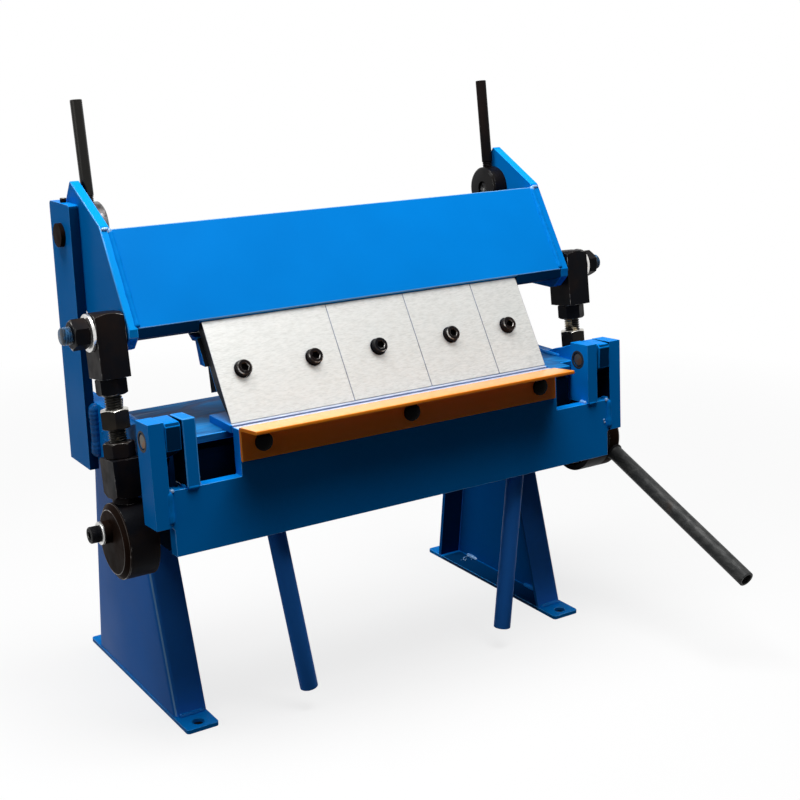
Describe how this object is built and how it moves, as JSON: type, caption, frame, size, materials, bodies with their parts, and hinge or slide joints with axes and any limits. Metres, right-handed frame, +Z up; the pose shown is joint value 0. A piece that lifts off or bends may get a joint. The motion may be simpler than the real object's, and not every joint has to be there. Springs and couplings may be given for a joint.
{
  "type": "box and pan brake",
  "caption": "Small bench brake that clamps sheet metal under removable fingers with an eccentric shaft and folds it with a hinged leaf.",
  "frame": {"origin": "centre of the four foot bolt holes, on the bench under the feet", "axes": "+X along the bend towards the clamp handle's end, +Z up, -Y towards the worker in front of the folding leaf"},
  "size_m": [0.518, 0.3797, 0.4882],
  "materials": {
    "blue_paint": "semi-gloss machine enamel over slightly uneven steel",
    "orange_paint": "semi-gloss enamel",
    "finger_steel": "ground and brushed, fine grain",
    "bare_steel": "ground",
    "black_steel": "oil-blackened, satin",
    "mill_steel": "dark mill scale",
    "bronze": "plain bearing bronze"
  },
  "bodies": {
    "frame": {"left_leg": "blue_paint", "right_leg": "blue_paint", "left_foot_plate": "blue_paint", "right_foot_plate": "blue_paint", "left_cheek_plate": "blue_paint", "right_cheek_plate": "blue_paint", "left_upright_bar": "blue_paint", "right_upright_bar": "blue_paint", "cam_lock_screws": "black_steel", "bed_top_plate": "blue_paint", "bed_front_bar": "blue_paint", "lower_jaw_strip": "bare_steel", "left_shaft_bracket": "blue_paint", "right_shaft_bracket": "blue_paint"},
    "pivot_bushes": {"pivot_bushes": "bronze"},
    "finger_beam": {"finger_110": "finger_steel", "finger_75": "finger_steel", "finger_70": "finger_steel", "finger_50": "finger_steel", "finger_screws": "black_steel", "finger_holder_bar": "blue_paint", "beam_front_plate": "blue_paint", "beam_bottom_bar": "blue_paint", "left_side_plate": "blue_paint", "right_side_plate": "blue_paint", "link_studs": "black_steel", "link_stud_washers": "bare_steel", "link_stud_nuts": "black_steel"},
    "left_link": {"left_link_upper_block": "black_steel", "left_link_rod": "black_steel", "left_link_nuts": "black_steel", "left_link_eye_block": "black_steel"},
    "right_link": {"right_link_upper_block": "black_steel", "right_link_rod": "black_steel", "right_link_nuts": "black_steel", "right_link_eye_block": "black_steel"},
    "clamp": {"clamp_shaft": "black_steel", "shaft_end_screw": "black_steel", "shaft_end_washer": "bare_steel", "left_eccentric": "black_steel", "right_eccentric": "black_steel", "clamp_handle": "mill_steel"},
    "left_setback_lever": {"left_setback_cam": "black_steel", "left_setback_rod": "mill_steel"},
    "right_setback_lever": {"right_setback_cam": "black_steel", "right_setback_rod": "mill_steel"},
    "leaf": {"leaf_plate": "blue_paint", "edge_angle": "orange_paint", "edge_angle_bolts": "black_steel", "left_outer_ear": "blue_paint", "right_outer_ear": "blue_paint", "left_inner_ear": "blue_paint", "right_inner_ear": "blue_paint", "hinge_pins": "bare_steel", "left_leaf_handle": "blue_paint", "right_leaf_handle": "blue_paint"}
  },
  "joints": [
    {"name": "leaf_swing", "type": "hinge", "parent": "frame", "child": "leaf", "pos_m": [0, -0.1137, 0.2505], "axis": [-1, 0, 0], "range_deg": [0, 95]},
    {"name": "clamp_handle_lift", "type": "hinge", "parent": "frame", "child": "clamp", "pos_m": [0, -0.06991, 0.17028], "axis": [-1, 0, 0], "range_deg": [0, 18]},
    {"name": "setback_slide", "type": "slide", "parent": "frame", "child": "pivot_bushes", "axis": [0, 1, 0], "range_m": [-0.0006, 0.0006]},
    {"name": "beam_tilt", "type": "hinge", "parent": "pivot_bushes", "child": "finger_beam", "pos_m": [0, 0.0377, 0.3848], "axis": [-1, 0, 0], "range_deg": [0, 1.15]},
    {"name": "left_link_swing", "type": "hinge", "parent": "finger_beam", "child": "left_link", "pos_m": [-0.2249, -0.0537, 0.3225], "axis": [-1, 0, 0], "range_deg": [-0.85, 0]},
    {"name": "right_link_swing", "type": "hinge", "parent": "finger_beam", "child": "right_link", "pos_m": [0.2249, -0.0537, 0.3225], "axis": [-1, 0, 0], "range_deg": [-0.85, 0]},
    {"name": "left_setback_turn", "type": "hinge", "parent": "frame", "child": "left_setback_lever", "pos_m": [-0.1975, 0.0377, 0.3836], "axis": [1, 0, 0], "range_deg": [-30, 30]},
    {"name": "right_setback_turn", "type": "hinge", "parent": "frame", "child": "right_setback_lever", "pos_m": [0.1975, 0.0377, 0.3836], "axis": [1, 0, 0], "range_deg": [-30, 30]}
  ],
  "couplings": [
    {"joint": "beam_tilt", "follows": "clamp_handle_lift", "ratio": 0.06319},
    {"joint": "left_link_swing", "follows": "clamp_handle_lift", "ratio": -0.04676},
    {"joint": "right_link_swing", "follows": "clamp_handle_lift", "ratio": -0.04676},
    {"joint": "right_setback_turn", "follows": "left_setback_turn", "ratio": 1},
    {"joint": "setback_slide", "follows": "left_setback_turn", "m_per_rad": -0.00114}
  ]
}
